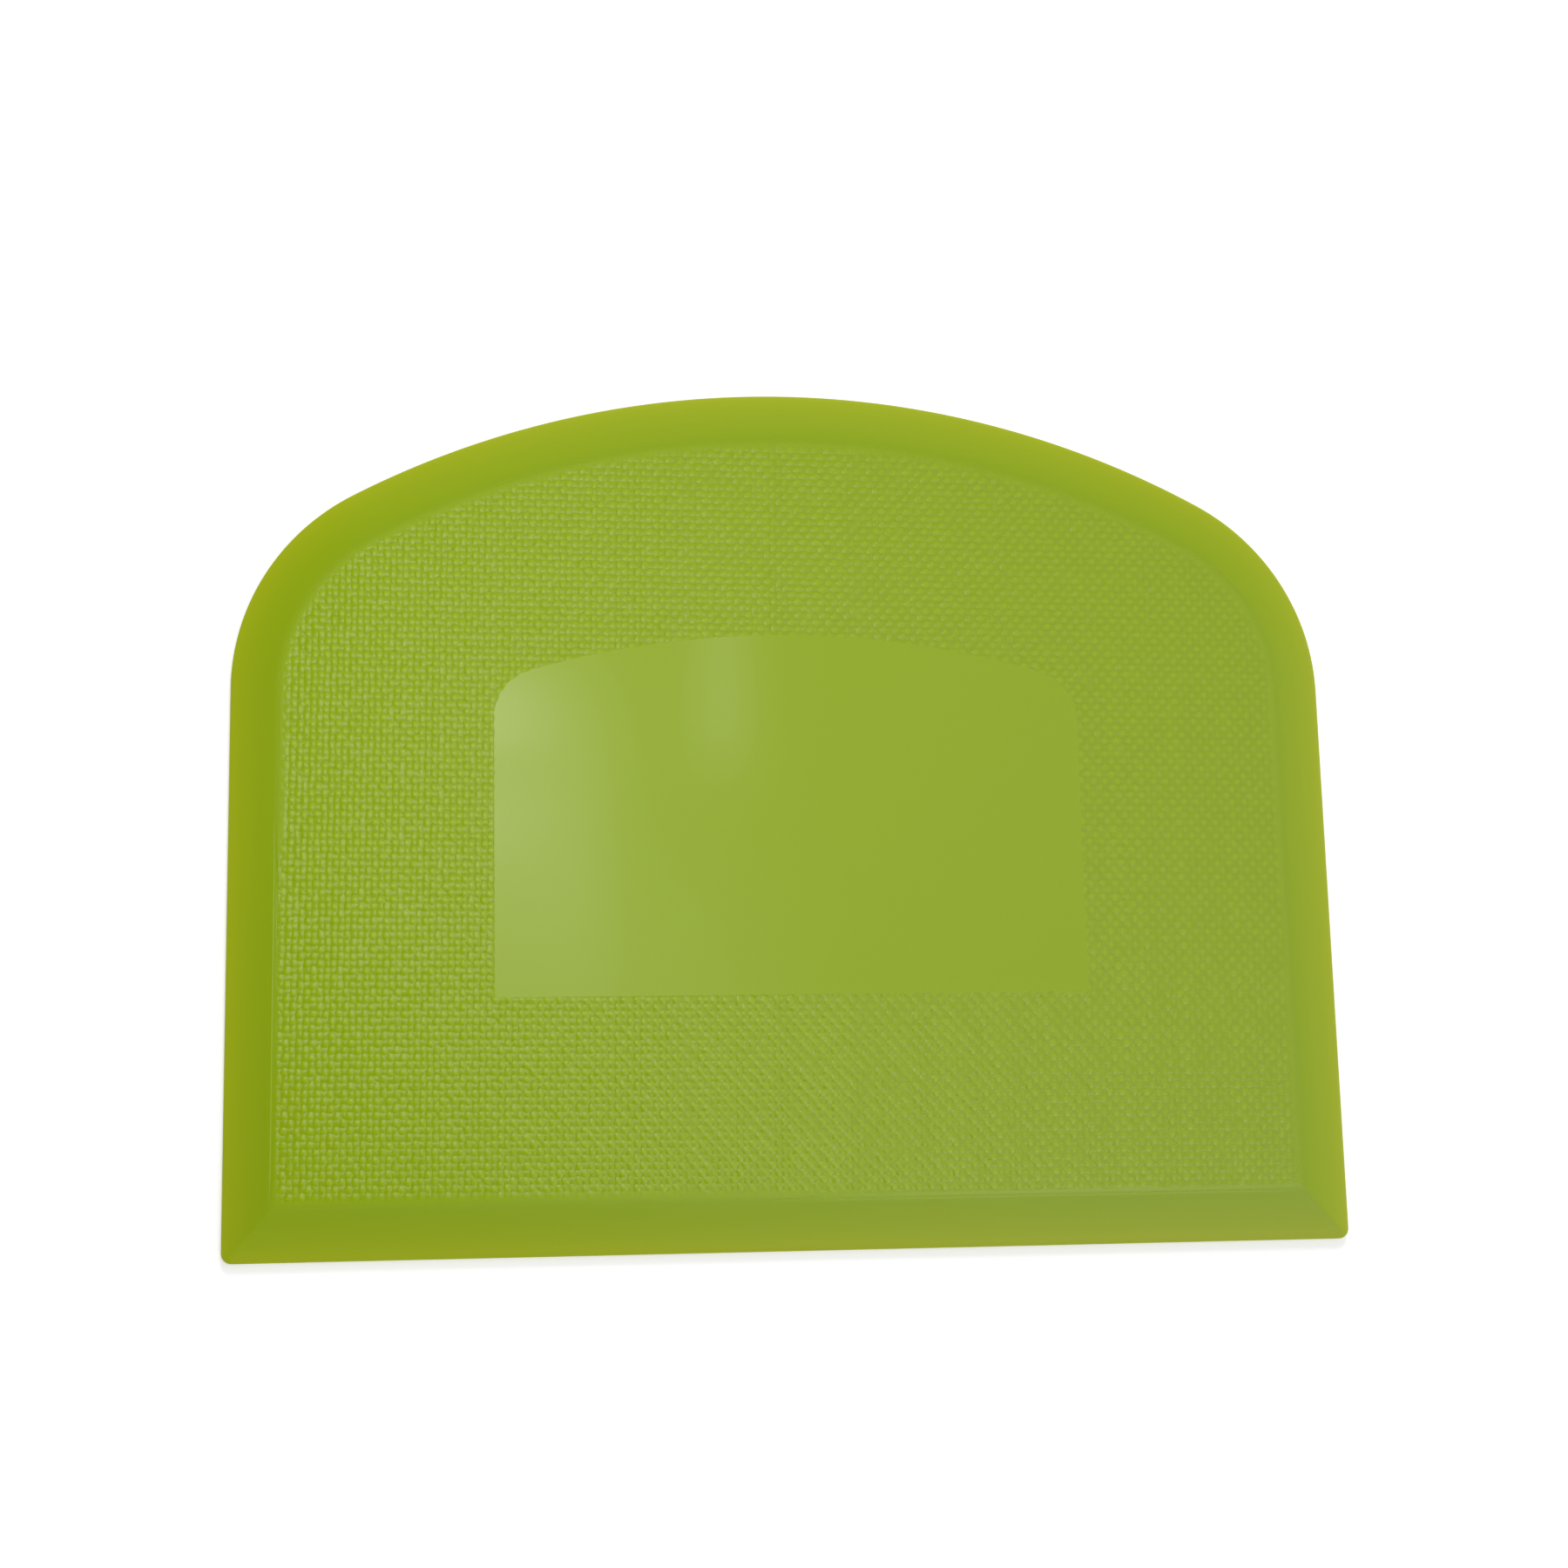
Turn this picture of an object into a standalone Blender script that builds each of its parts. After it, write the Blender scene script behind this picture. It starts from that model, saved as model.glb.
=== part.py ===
"""Dough scraper: one flat injection moulding in lime-green polypropylene.

The plate lies on its flat back, face up. X runs along the straight scraping edge, +Y from that edge
towards the rounded crown, and +Z out of the face. The origin is at the middle of the back, under the
middle of the plate's length and width. Everything is in metres.
"""

from math import atan2, cos, pi, radians, sin, sqrt

import bmesh
import bpy

# Outline of the plate
WIDTH = 0.1200
HEIGHT = 0.0943
CROWN_RADIUS = 0.0983
CORNER_RADIUS = 0.0245
FOOT_RADIUS = 0.0011

# Section of the plate: a thin rounded edge, a tapered rim, a narrow crest, then the textured field
THICKNESS = 0.0020
EDGE_THICKNESS = 0.0008
EDGE_ROUND = 0.00015
RIM_AT_SIDE = 0.0049
RIM_AT_CROWN = 0.0053
RIM_AT_FOOT = 0.0053
CREST_WIDTH = 0.00035
GROOVE_WIDTH = 0.00015
FIELD_DEPTH = 0.00008

# Polished panel in the middle of the field, by its margins to the plate's outline
PANEL_FROM_SIDE = 0.0280
PANEL_FROM_CROWN = 0.0278
PANEL_FROM_FOOT = 0.0270
PANEL_CROWN_RADIUS = 0.1000
PANEL_CORNER_RADIUS = 0.0055

# Corners that are square to the eye keep a radius that a mould cutter leaves
TOOL_RADIUS = 0.0002

# Facets on each round stretch of an outline
CROWN_FACETS = 48
CORNER_FACETS = 20
FOOT_FACETS = 4

SMOOTH_BELOW = radians(25)
LIME = (0.29, 0.40, 0.03, 1.0)
ROUGHNESS = 0.35


def arc(centre_x, centre_y, radius, start, end, facets):
    """Points along an arc, from its start up to the one before its end."""
    turn = (end - start) / facets
    angles = [start + turn * i for i in range(facets)]
    return [(centre_x + radius * cos(a), centre_y + radius * sin(a)) for a in angles]


def outline(from_side, from_crown, from_foot, crown, corner, foot):
    """A straight foot edge and two straight sides, closed by a crown arc that runs into a corner arc
    at each side. The first three values are the margins to the plate's own outline, and the last three
    are radii. Anticlockwise from the right foot."""
    half = WIDTH / 2 - from_side
    top = HEIGHT / 2 - from_crown
    bottom = from_foot - HEIGHT / 2
    rise = sqrt((crown - corner) ** 2 - (half - corner) ** 2)
    shoulder = top - crown + rise
    turn = atan2(rise, half - corner)
    foot_x = half - foot
    corner_x = half - corner
    return (
        arc(foot_x, bottom + foot, foot, -pi / 2, 0, FOOT_FACETS)
        + [(half, bottom + foot)]
        + arc(corner_x, shoulder, corner, 0, turn, CORNER_FACETS)
        + arc(0, top - crown, crown, turn, pi - turn, CROWN_FACETS)
        + arc(-corner_x, shoulder, corner, pi - turn, pi, CORNER_FACETS)
        + [(-half, shoulder)]
        + arc(-foot_x, bottom + foot, foot, pi, 3 * pi / 2, FOOT_FACETS)
        + [(-foot_x, bottom)]
    )


def plate_outline(inset):
    """The plate's outline moved inwards by one distance all round."""
    return outline(
        inset,
        inset,
        inset,
        CROWN_RADIUS - inset,
        CORNER_RADIUS - inset,
        max(FOOT_RADIUS - inset, TOOL_RADIUS),
    )


def field_outline(inset):
    """The crest's outer border moved inwards by one distance all round. The rim outside it is a little
    wider at the crown and at the foot than at the sides."""
    return outline(
        RIM_AT_SIDE + inset,
        RIM_AT_CROWN + inset,
        RIM_AT_FOOT + inset,
        CROWN_RADIUS - RIM_AT_CROWN - inset,
        CORNER_RADIUS - (RIM_AT_SIDE + RIM_AT_CROWN) / 2 - inset,
        TOOL_RADIUS,
    )


def panel_outline():
    """The polished panel repeats the plate's shape on a smaller scale."""
    return outline(
        PANEL_FROM_SIDE,
        PANEL_FROM_CROWN,
        PANEL_FROM_FOOT,
        PANEL_CROWN_RADIUS,
        PANEL_CORNER_RADIUS,
        TOOL_RADIUS,
    )


def add_ring(bm, points, z):
    """A closed ring of edges at one height."""
    verts = [bm.verts.new((x, y, z)) for x, y in points]
    edges = [bm.edges.new((a, b)) for a, b in zip(verts, verts[1:] + verts[:1])]
    return verts, edges


def add_wall(bm, lower, upper):
    """Quads between two rings with as many points, facing away from the space that they go round."""
    for i, low in enumerate(lower):
        bm.faces.new((low, lower[(i + 1) % len(lower)], upper[(i + 1) % len(upper)], upper[i]))


def fill(bm, edges, normal):
    """Flat faces inside the given rings of edges."""
    bmesh.ops.triangle_fill(bm, use_beauty=True, use_dissolve=False, edges=edges, normal=normal)


def rim_slope_height(inset):
    """Height of the tapered rim's surface at a distance inside the plate's outline, above the sides."""
    return EDGE_THICKNESS + (THICKNESS - EDGE_THICKNESS) * inset / RIM_AT_SIDE


def plastic():
    """Lime-green polypropylene as moulded."""
    material = bpy.data.materials.new("lime_polypropylene")
    material.use_nodes = True
    shader = material.node_tree.nodes["Principled BSDF"]
    shader.inputs["Base Color"].default_value = LIME
    shader.inputs["Roughness"].default_value = ROUGHNESS
    shader.inputs["Metallic"].default_value = 0.0
    return material


def scraper_plate():
    """The whole plate: rings of its outline are stacked from the back, round the edge, up the tapered
    rim to the crest and down into the field, and the panel rises from the field's floor."""
    field_floor = THICKNESS - FIELD_DEPTH
    sections = [
        (plate_outline(EDGE_ROUND), 0.0),
        (plate_outline(0.0), EDGE_ROUND),
        (plate_outline(0.0), EDGE_THICKNESS - EDGE_ROUND),
        (plate_outline(EDGE_ROUND), rim_slope_height(EDGE_ROUND)),
        (field_outline(0.0), THICKNESS),
        (field_outline(CREST_WIDTH), THICKNESS),
        (field_outline(CREST_WIDTH + GROOVE_WIDTH), field_floor),
    ]
    bm = bmesh.new()
    rings = [add_ring(bm, points, z) for points, z in sections]
    for (lower, _), (upper, _) in zip(rings, rings[1:]):
        add_wall(bm, lower, upper)
    panel_foot, panel_foot_edges = add_ring(bm, panel_outline(), field_floor)
    panel_top, panel_top_edges = add_ring(bm, panel_outline(), THICKNESS)
    add_wall(bm, panel_foot, panel_top)
    fill(bm, rings[0][1], (0, 0, -1))
    fill(bm, rings[-1][1] + panel_foot_edges, (0, 0, 1))
    fill(bm, panel_top_edges, (0, 0, 1))
    bmesh.ops.recalc_face_normals(bm, faces=bm.faces)
    mesh = bpy.data.meshes.new("scraper_plate")
    bm.to_mesh(mesh)
    bm.free()
    mesh.shade_smooth()
    mesh.set_sharp_from_angle(angle=SMOOTH_BELOW)
    mesh.materials.append(plastic())
    plate = bpy.data.objects.new("scraper_plate", mesh)
    bpy.context.scene.collection.objects.link(plate)
    return plate


def clear_scene():
    """Removes whatever the opened file holds."""
    for old in list(bpy.data.objects):
        bpy.data.objects.remove(old, do_unlink=True)


def main():
    clear_scene()
    scraper_plate()


main()
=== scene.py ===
"""Looks of a flexible dough scraper: one lime-green plate with a linen-textured face and a polished panel.

The file is laid out as an add-on and is run as a script. The plate is one closed surface around the
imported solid's own box, in metres, with its back on the floor at z = 0 and its face up. The linen of the
face is real relief: a plain weave worked out as a height over the plane.
"""

import math
from typing import NamedTuple

import bpy
import numpy as np
from mathutils import Matrix, Vector
from mathutils.geometry import delaunay_2d_cdt


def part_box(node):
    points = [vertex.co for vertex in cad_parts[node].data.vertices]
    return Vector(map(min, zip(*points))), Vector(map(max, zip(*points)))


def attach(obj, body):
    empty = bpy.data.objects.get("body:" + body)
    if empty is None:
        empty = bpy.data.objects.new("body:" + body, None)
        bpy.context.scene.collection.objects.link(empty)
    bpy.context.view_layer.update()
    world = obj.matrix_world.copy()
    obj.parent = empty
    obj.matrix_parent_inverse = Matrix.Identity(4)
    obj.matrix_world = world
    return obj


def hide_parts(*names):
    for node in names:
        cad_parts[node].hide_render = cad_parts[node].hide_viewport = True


bl_info = {
    "name": "Dough Scraper",
    "version": (1, 0, 0),
    "blender": (4, 5, 0),
    "location": "3D View > Sidebar > Scraper",
    "description": "Builds a moulded dough scraper with a linen-textured face, and a plain stage for it",
    "category": "Add Mesh",
}

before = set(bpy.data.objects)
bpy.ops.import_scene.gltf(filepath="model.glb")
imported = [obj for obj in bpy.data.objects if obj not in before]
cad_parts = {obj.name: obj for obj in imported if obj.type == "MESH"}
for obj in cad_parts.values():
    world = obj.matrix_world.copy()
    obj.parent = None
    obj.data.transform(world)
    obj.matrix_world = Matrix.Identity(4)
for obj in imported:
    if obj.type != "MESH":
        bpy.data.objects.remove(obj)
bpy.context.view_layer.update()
PLATE_LOW, PLATE_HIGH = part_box("scraper_plate")

# Facets of a full turn of the plate's outline: straight foot, foot corners, sides, corners and crown
RIM_FACETS = (140, 6, 72, 32, 110)
# The borders of the linen cut through its threads, so they have two or more facets to a thread
FIELD_FACETS = (300, 3, 140, 60, 240)
PANEL_FACETS = (180, 3, 84, 18, 150)

# Level of the threads' painted shade, from nought to one, where there is no linen
PLAIN = 0.58

# Kinds of points on the face; those of the groove have none
CLOTH = 1
POLISHED = 2

# Places of the rim's taper that have a ring of points, as shares of it: closer towards the bend
TAPER_RINGS = (0.08, 0.25, 0.45, 0.65, 0.8, 0.9, 0.95, 0.98)
# Rings of points from the end of the taper to the linen's border
GROOVE_RINGS = 11
# Where the groove is deepest, as a share of its width, and how much of its depth it climbs again
GROOVE_LOWEST = 0.2
GROOVE_CLIMB = 0.8
# Stretch over which the linen rises beside the groove
GROOVE_REACH = 0.0001
# Width of the cut in which the threads end at a border, and how far the weave's own points keep from it
CUT = 0.00005
CLEAR = 0.00016
# Distance between the points of the polished panel
SHEET_SPACING = 0.0015
# Facets that meet at a larger angle have a sharp edge between them
SHARP_FROM = math.radians(38)


def length(name, default, description):
    """A property for a real length in metres."""
    return bpy.props.FloatProperty(
        name=name, description=description, default=default, unit="LENGTH", subtype="DISTANCE", precision=5
    )


def share(name, default, description):
    """A property from nothing to all."""
    return bpy.props.FloatProperty(
        name=name, description=description, default=default, min=0.0, max=1.0, subtype="FACTOR", precision=3
    )


def colour(name, default, description):
    """A property for a linear colour."""
    return bpy.props.FloatVectorProperty(
        name=name, description=description, default=default, size=3, min=0.0, max=1.0, subtype="COLOR"
    )


class ScraperSizes(bpy.types.PropertyGroup):
    """Sizes of the moulded plate"""

    width: length("Width", PLATE_HIGH.x - PLATE_LOW.x, "Length of the straight scraping edge")
    height: length("Height", PLATE_HIGH.y - PLATE_LOW.y, "From the straight edge to the top of the crown")
    thickness: length("Thickness", PLATE_HIGH.z - PLATE_LOW.z, "Thickness at the crest and the panel")
    crown_radius: length("Crown radius", 0.0983, "Radius of the rounded top")
    corner_radius: length("Corner radius", 0.0245, "Radius of the upper corners")
    foot_radius: length("Foot radius", 0.0011, "Radius of the two lower corners")
    edge_thickness: length("Edge thickness", 0.0008, "Thickness of the outer edge")
    edge_round: length("Edge rounding", 0.00015, "Radius that breaks the outer edge")
    rim_at_side: length("Rim at the sides", 0.0049, "Width of the tapered rim at the sides")
    rim_at_crown: length("Rim at the crown", 0.0053, "Width of the tapered rim at the crown")
    rim_at_foot: length("Rim at the foot", 0.0053, "Width of the tapered rim along the scraping edge")
    crest_width: length("Crest width", 0.00015, "Width of the smooth crest inside the rim")
    crest_bend: length("Crest bend", 0.00004, "Roundness of the bend between the taper and the crest")
    groove_width: length("Groove width", 0.00035, "Width of the groove between the crest and the linen")
    groove_depth: length("Groove depth", 0.00005, "Depth of the groove between the crest and the linen")
    crest_top: length("Crest top", 0.0430, "Height above the straight edge at which the crest fades out")
    crest_fade: length("Crest fade", 0.0050, "Half of the stretch over which the crest fades out")
    soft_width: length("Soft border", 0.00010, "Width of the smooth border where there is no crest")
    soft_bend: length("Soft bend", 0.00009, "Roundness of the bend between the taper and the linen there")
    soft_start: length("Soft start", 0.00040, "Depth inside the soft border at which the linen begins")
    soft_reach: length("Soft reach", 0.00100, "Stretch over which the linen then rises out of the border")
    panel_from_side: length("Panel from the side", 0.0280, "Margin beside the polished panel")
    panel_from_crown: length("Panel from the crown", 0.0278, "Margin above the polished panel")
    panel_from_foot: length("Panel from the foot", 0.0270, "Margin below the polished panel")
    panel_crown_radius: length("Panel crown radius", 0.1000, "Radius of the panel's top")
    panel_corner_radius: length("Panel corner radius", 0.0055, "Radius of the panel's upper corners")
    panel_ragged: length("Panel raggedness", 0.00011, "How far the threads make the panel's border wander")
    tool_radius: length("Tool radius", 0.0002, "Smallest radius left by the mould cutter")


class LinenSizes(bpy.types.PropertyGroup):
    """Threads of the moulded linen"""

    warp_pitch: length("Warp pitch", 0.000679, "Distance between threads that run up the plate")
    weft_pitch: length("Weft pitch", 0.000757, "Distance between threads that run across the plate")
    warp_lift: length("Warp lift", 0.0000180, "How far warp threads wave up and down")
    weft_lift: length("Weft lift", 0.0000090, "How far weft threads wave up and down")
    warp_fall: length("Warp fall", 0.0000150, "Drop from a warp's ridge to half a pitch beside it")
    weft_fall: length("Weft fall", 0.0000180, "Drop from a weft's ridge to half a pitch beside it")
    warp_seat: length("Warp seat", 0.0000012, "How far warps lie above the cloth's middle, and wefts below")
    ripple: length("Ripple", 0.0000050, "How far a thread also waves out of step with the weave")
    sway: share("Sway", 0.08, "How far threads stray sideways, as a share of their pitch")
    start_x: length("Middle thread", -0.00028, "Place of one warp thread beside the middle of the plate")
    start_y: length("First thread", -0.00010, "Place of one weft thread above the straight edge")
    turn: bpy.props.FloatProperty(
        name="Turn",
        description="How far the cloth's grain is turned from the plate",
        default=math.radians(-0.7),
        subtype="ANGLE",
        unit="ROTATION",
    )
    slub: share("Slub", 0.30, "Unevenness from thread to thread")
    seed: bpy.props.IntProperty(name="Seed", description="Choice of uneven threads", default=7, min=0)


class PlasticLooks(bpy.types.PropertyGroup):
    """Colours and gloss of the polypropylene, with painted light and shade on the linen and at the thin
    edge
    """

    body: colour("Body", (0.328, 0.468, 0.0032), "Colour of the linen and the panel")
    crest: colour("Crest", (0.297, 0.432, 0.0032), "Colour of the rim where it is thickest")
    # The edge's lighter yellow is partly the thinner plastic's own colour and partly painted light that
    # comes through it from the floor
    edge: colour("Edge", (0.463, 0.519, 0.0085), "Colour of the thin, more see-through edge")
    # Painted light and shade on the linen: the threads' tops are made lighter and the pits between them
    # darker
    tops: bpy.props.FloatProperty(
        name="Tops", description="Brightness of the tops of the linen's threads", default=1.055, min=0.0
    )
    pits: share("Pits", 0.91, "Brightness of the pits between the linen's threads")
    field_gloss: share("Roughness of the linen", 0.13, "Roughness of the textured field")
    rim_gloss: share("Roughness of the rim", 0.30, "Roughness of the tapered rim and the back")
    panel_gloss: share("Roughness of the panel", 0.065, "Roughness of the polished panel")


class StudioSettings(bpy.types.PropertyGroup):
    """Camera, lamps and floor"""

    lens: bpy.props.FloatProperty(
        name="Lens", description="Focal length over a 36 mm frame, in millimetres", default=57.5, min=1.0
    )
    floor_size: length("Floor", 4.0, "Side of the square floor")
    ceiling: bpy.props.FloatProperty(
        name="Ceiling", description="Radiance of the room overhead", default=0.875, min=0.0
    )
    horizon: bpy.props.FloatProperty(
        name="Horizon", description="Radiance of the room at the level of the floor", default=0.73, min=0.0
    )
    window: bpy.props.FloatProperty(
        name="Window", description="Strength of the window and the lights beside it", default=1.0, min=0.0
    )
    lamp: bpy.props.FloatProperty(
        name="Lamp", description="Radiance of the soft lamp behind the crown", default=15.6, min=0.0
    )
    near_lamp: bpy.props.FloatProperty(
        name="Near lamp", description="Radiance of the small soft lamp at the left", default=1.2, min=0.0
    )
    shade: share("Shade", 0.905, "How much darker the west side of the room is")


class Outline(NamedTuple):
    """A plate's outline: a straight foot, two straight sides, and a crown arc between two corner arcs."""

    half: float
    bottom: float
    top: float
    crown: float
    corner: float
    foot: float

    def shoulder(self):
        """Where the sides end. The corner's centre lies crown minus corner from the crown's centre, and
        half minus corner from the middle, so the rest follows from the right angle between them. Returns
        the height of the corner's centre and the angle at which the corner meets the crown."""
        rise = math.sqrt((self.crown - self.corner) ** 2 - (self.half - self.corner) ** 2)
        return self.top - self.crown + rise, math.atan2(rise, self.half - self.corner)

    def points(self, facets):
        """Points anticlockwise from the left end of the foot: runs and arcs, each with its own facets."""
        run, foot, side, corner, crown = facets
        level, turn = self.shoulder()
        foot_x, foot_y = self.half - self.foot, self.bottom + self.foot
        corner_x = self.half - self.corner
        return np.concatenate(
            [
                straight((-foot_x, self.bottom), (foot_x, self.bottom), run),
                arc((foot_x, foot_y), self.foot, -math.pi / 2, 0, foot),
                straight((self.half, foot_y), (self.half, level), side),
                arc((corner_x, level), self.corner, 0, turn, corner),
                arc((0, self.top - self.crown), self.crown, turn, math.pi - turn, crown),
                arc((-corner_x, level), self.corner, math.pi - turn, math.pi, corner),
                straight((-self.half, level), (-self.half, foot_y), side),
                arc((-foot_x, foot_y), self.foot, math.pi, 1.5 * math.pi, foot),
            ]
        )

    def depth(self, points):
        """How far points lie inside the outline, negative outside: the least distance to the foot, and
        to the side below the shoulder, the corner arc in the corner's sector or the crown above it."""
        level, turn = self.shoulder()
        x, y = np.abs(points[:, 0]), points[:, 1]
        from_corner = np.hypot(x - self.half + self.corner, y - level)
        angle = np.arctan2(y - level, x - self.half + self.corner)
        from_crown = np.hypot(x, y - self.top + self.crown)
        upper = np.where(angle < turn, self.corner - from_corner, self.crown - from_crown)
        upper = np.where(x < self.half - self.corner, self.crown - from_crown, upper)
        walls = np.where(y < level, self.half - x, upper)
        return np.minimum(walls, y - self.bottom)


def straight(start, end, facets):
    """Points on a run: start plus an even share of the way to end, which is left out."""
    way = np.linspace(0, 1, facets, endpoint=False)[:, None]
    return np.array(start) * (1 - way) + np.array(end) * way


def arc(centre, radius, start, end, facets):
    """Points on an arc: centre plus radius times (cos a, sin a), for even angles a, with end left out."""
    angle = np.linspace(start, end, facets, endpoint=False)
    return np.array(centre) + radius * np.column_stack([np.cos(angle), np.sin(angle)])


def plate_outline(sizes, rim=0.0, inset=0.0):
    """The plate's outline moved inwards by a share of the rim's width and then by a distance."""
    side = sizes.rim_at_side * rim + inset
    crown = sizes.rim_at_crown * rim + inset
    foot = sizes.rim_at_foot * rim + inset
    return Outline(
        half=sizes.width / 2 - side,
        bottom=foot - sizes.height / 2,
        top=sizes.height / 2 - crown,
        crown=sizes.crown_radius - crown,
        corner=sizes.corner_radius - (side + crown) / 2,
        foot=max(sizes.foot_radius - foot, sizes.tool_radius),
    )


def panel_outline(sizes, grow=0.0):
    """The polished panel's outline, moved outwards by a distance."""
    return Outline(
        half=sizes.width / 2 - sizes.panel_from_side + grow,
        bottom=sizes.panel_from_foot - sizes.height / 2 - grow,
        top=sizes.height / 2 - sizes.panel_from_crown + grow,
        crown=sizes.panel_crown_radius + grow,
        corner=sizes.panel_corner_radius + grow,
        foot=sizes.tool_radius,
    )


def soft_least(a, b, width):
    """The lesser of two heights with the bend between them rounded: minus width times the logarithm of
    exp(-a / width) + exp(-b / width)."""
    return -width * np.logaddexp(-a / width, -b / width)


def smooth_step(value, low, high):
    """Nought below low, one above high, and 3 t squared minus 2 t cubed between."""
    t = np.clip((value - low) / (high - low), 0, 1)
    return t * t * (3 - 2 * t)


def crest_share(sizes, points):
    """One where a crest and a groove bound the linen: on the left side up to the crest's top, and on the
    right part of the foot. Nought where the linen fades into the rim."""
    x, level = points[:, 0], points[:, 1] + sizes.height / 2
    half, rim, fade = sizes.width / 2, sizes.rim_at_foot, sizes.crest_fade
    below_top = 1 - smooth_step(level, sizes.crest_top - fade, sizes.crest_top + fade)
    left = smooth_step(-x, half - 3 * fade, half - 2 * fade)
    above_foot = smooth_step(level, rim, rim + fade)
    right = smooth_step(x, -fade, fade) * (1 - smooth_step(x, half - 2 * fade, half - fade))
    foot = right * (1 - smooth_step(level, rim + fade, rim + 2 * fade))
    return left * above_foot * below_top + foot


def rim_grade(sizes):
    """Steepness of the rim's taper."""
    return (sizes.thickness - sizes.edge_thickness) / sizes.rim_at_side


def bend_width(sizes, crest):
    """Roundness of the bend between the rim's taper and the level ground, by the crest's share."""
    return sizes.soft_bend + (sizes.crest_bend - sizes.soft_bend) * crest


def bend_drop(sizes, depth, crest):
    """The rounded bend between the rim's taper and the level ground, at a depth inside the rim's end:
    width times the logarithm of 1 + exp(-grade times depth / width) is its distance below the ground,
    and grade / (1 + exp(grade times depth / width)) is its slope."""
    width = bend_width(sizes, crest)
    grade = rim_grade(sizes)
    return width * np.logaddexp(0, -grade * depth / width), grade / (1 + np.exp(grade * depth / width))


def edge_section(sizes):
    """Rows of the profile from the flat back round the edge and up the taper: rim share, further inset
    and height. Quarter circles break the edge's two corners, and a line climbs to the crest."""
    radius, thick, edge = sizes.edge_round, sizes.thickness, sizes.edge_thickness
    slope = math.atan2(thick - edge, sizes.rim_at_side)
    low = np.linspace(0, math.pi / 2, 4)
    high = np.linspace(0, math.pi / 2 - slope, 4)
    flat_back = [(0.0, radius * 3, 0.0)]
    under = np.column_stack([low * 0, radius * (1 - np.sin(low)), radius * (1 - np.cos(low))])
    over = np.column_stack([high * 0, radius * (1 - np.cos(high)), edge + radius * (np.sin(high) - 1)])
    start_in, start_up = over[-1, 1:]
    way = np.array(TAPER_RINGS)
    climbed = start_in + (sizes.rim_at_side - start_in) * way
    line = start_up + (thick - start_up) * way
    taper = np.column_stack([climbed / sizes.rim_at_side, way * 0, line])
    return np.concatenate([flat_back, under, over, taper])


def rim_rings(sizes):
    """Rings of points from the back's border to the linen's border. The taper's line bends into the
    level ground. Inside it each ring lies between the groove's and the soft border's by the crest's
    share. The crest rolls down into the groove as a smooth step and climbs part of the way back as
    another, and the soft border only follows the bend."""
    rings = []
    base = plate_outline(sizes, 1.0)
    crest = crest_share(sizes, base.points(RIM_FACETS))
    for rim, inset, height in edge_section(sizes):
        ring = plate_outline(sizes, rim, inset).points(RIM_FACETS)
        level = np.full(len(ring), height)
        if rim > 0:
            level = soft_least(level, sizes.thickness, bend_width(sizes, crest))
        rings.append(np.column_stack([ring, level]))
    border = sizes.crest_width + sizes.groove_width
    lowest = sizes.crest_width + sizes.groove_width * GROOVE_LOWEST
    for way in np.linspace(0, 1, GROOVE_RINGS):
        inset = way * border
        sharp = plate_outline(sizes, 1.0, inset).points(RIM_FACETS)
        soft = plate_outline(sizes, 1.0, way * sizes.soft_width).points(RIM_FACETS)
        ring = crest[:, None] * sharp + (1 - crest[:, None]) * soft
        roll = smooth_step(inset, 0.0, lowest) - GROOVE_CLIMB * smooth_step(inset, lowest, border)
        drop, _ = bend_drop(sizes, base.depth(ring), crest)
        level = sizes.thickness - drop - sizes.groove_depth * crest * roll
        rings.append(np.column_stack([ring, level]))
    return np.array(rings)


def border_inset(sizes, points):
    """How far the linen's border lies inside the rim at points' heights."""
    crest = crest_share(sizes, points)
    return crest * (sizes.crest_width + sizes.groove_width) + (1 - crest) * sizes.soft_width


def linen_rise(sizes, points):
    """How much of the linen's relief there is at points: a smooth step with the depth inside the
    border, which is short beside the groove and long where there is no crest."""
    soft = 1 - crest_share(sizes, points)
    depth = plate_outline(sizes, 1.0).depth(points) - border_inset(sizes, points) - soft * sizes.soft_start
    return smooth_step(depth / (GROOVE_REACH + soft * sizes.soft_reach), 0, 1)


def ground(sizes, points):
    """The ground that the linen lies on: the rounded bend inside the rim. Returns how far it lies below
    the plate's full thickness, and its slope, which runs inwards from the rim. That direction comes
    from the change of the depth over a small step along x and along y."""
    rim = plate_outline(sizes, 1.0)
    step = 1e-6
    ahead = [rim.depth(points + move) - rim.depth(points - move) for move in ((step, 0.0), (0.0, step))]
    inward = np.column_stack(ahead) / (2 * step)
    drop, slope = bend_drop(sizes, rim.depth(points), crest_share(sizes, points))
    return drop, inward * slope[:, None]


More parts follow.
